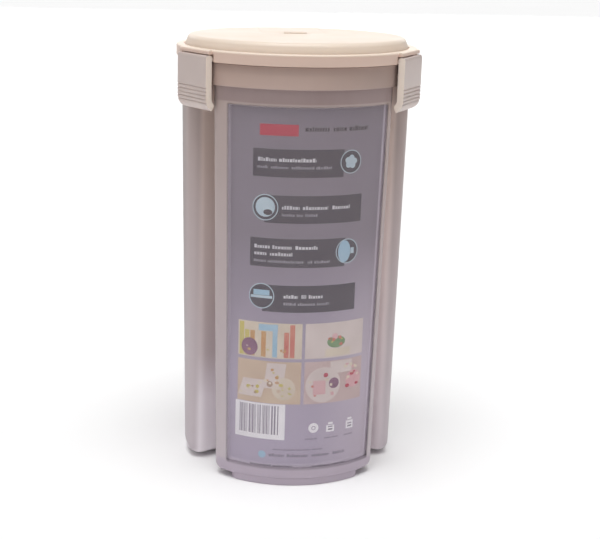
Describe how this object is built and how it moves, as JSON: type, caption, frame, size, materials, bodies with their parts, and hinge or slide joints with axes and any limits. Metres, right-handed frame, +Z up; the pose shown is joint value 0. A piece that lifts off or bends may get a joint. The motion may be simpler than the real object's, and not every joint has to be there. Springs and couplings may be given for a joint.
{
  "type": "cereal dispenser",
  "caption": "Tall food storage jar with frosted sector compartments, a clip-on lid and a turning disc with a flap-covered pour hole.",
  "frame": {"origin": "on the jar's upright axis, in the plane the feet stand on", "axes": "+Z up along the jar's axis; the front compartment, with the card, faces -Y; +X is to its right seen from the front"},
  "size_m": [0.156, 0.1582, 0.2862],
  "materials": {
    "frosted_plastic": "frosted translucent moulded plastic, satin",
    "printed_card": "printed paper card",
    "lid_plastic": "cream moulded plastic, soft gloss",
    "clip_plastic": "cream moulded plastic, soft gloss",
    "silicone": "translucent white silicone",
    "steel": "plain stainless steel"
  },
  "bodies": {
    "jar": {"jar_base": "frosted_plastic", "jar_outer_wall_front": "frosted_plastic", "jar_outer_wall_rear_right": "frosted_plastic", "jar_outer_wall_rear_left": "frosted_plastic", "jar_groove_wall_front_right": "frosted_plastic", "jar_groove_wall_rear": "frosted_plastic", "jar_groove_wall_front_left": "frosted_plastic", "jar_column": "frosted_plastic", "jar_neck": "frosted_plastic", "jar_rim": "frosted_plastic", "label_card": "printed_card", "lid_base": "lid_plastic", "rim_gasket": "silicone"},
    "disc": {"turn_disc": "lid_plastic", "port_seal": "silicone", "pivot_screw": "steel", "pivot_washer": "steel", "flap_pin": "steel"},
    "flap": {"pour_flap": "lid_plastic", "flap_seal": "silicone"},
    "clip_front_right": {"clip_front_right": "clip_plastic"},
    "clip_front_left": {"clip_front_left": "clip_plastic"},
    "clip_rear": {"clip_rear": "clip_plastic"}
  },
  "joints": [
    {"name": "disc_turn", "type": "hinge", "parent": "jar", "child": "disc", "pos_m": [0, 0, 0.2784], "axis": [0, 0, 1], "continuous": true},
    {"name": "flap_hinge", "type": "hinge", "parent": "disc", "child": "flap", "pos_m": [0, 0.009, 0.285], "axis": [1, 0, 0], "range_deg": [0, 160]},
    {"name": "clip_front_right_hinge", "type": "hinge", "parent": "jar", "child": "clip_front_right", "pos_m": [0.0672, -0.0388, 0.2733], "axis": [-0.5, -0.866, 0], "range_deg": [0, 95]},
    {"name": "clip_front_left_hinge", "type": "hinge", "parent": "jar", "child": "clip_front_left", "pos_m": [-0.0672, -0.0388, 0.2733], "axis": [-0.5, 0.866, 0], "range_deg": [0, 95]},
    {"name": "clip_rear_hinge", "type": "hinge", "parent": "jar", "child": "clip_rear", "pos_m": [0, 0.0776, 0.2733], "axis": [1, 0, 0], "range_deg": [0, 95]}
  ]
}
